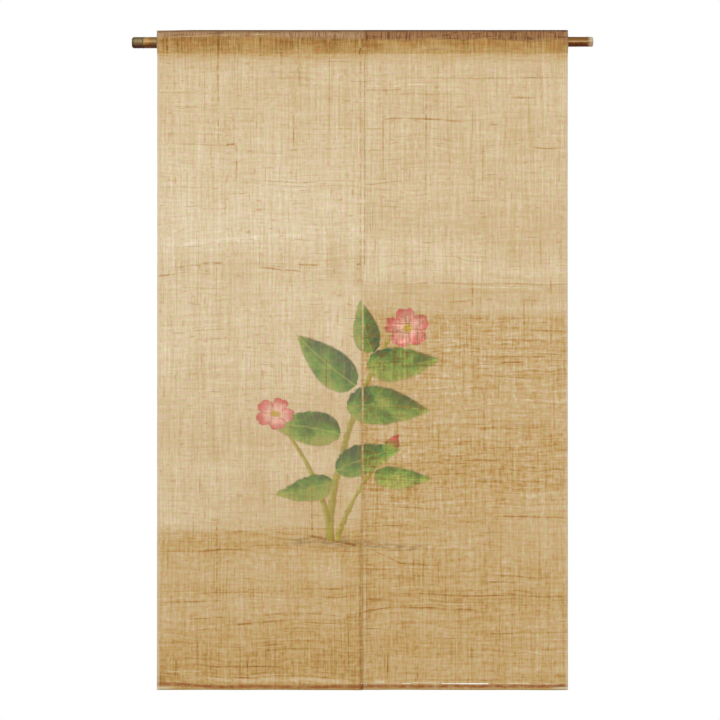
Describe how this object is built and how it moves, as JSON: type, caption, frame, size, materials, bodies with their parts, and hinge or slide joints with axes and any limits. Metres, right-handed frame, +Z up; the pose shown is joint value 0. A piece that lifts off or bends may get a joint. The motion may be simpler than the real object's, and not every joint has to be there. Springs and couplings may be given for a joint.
{
  "type": "noren curtain on a bamboo rod",
  "caption": "Split doorway curtain of coarse hemp in lapped upright panels, with a rod tunnel along the top and a natural bamboo rod through it.",
  "frame": {"origin": "on the bamboo rod's axis at its middle, where the curtain hangs", "axes": "+X to the right seen from the decorated side, +Z up, the decorated side faces -Y"},
  "size_m": [0.988, 0.028, 1.4142],
  "materials": {
    "hemp_cloth": "coarse plain weave of raw hemp, sheer, with slubs and pale dyed bands",
    "spotted_bamboo": "smoked and spotted bamboo, low gloss"
  },
  "bodies": {
    "root": {"panel_left": "hemp_cloth", "panel_right": "hemp_cloth", "rod": "spotted_bamboo"}
  },
  "joints": []
}
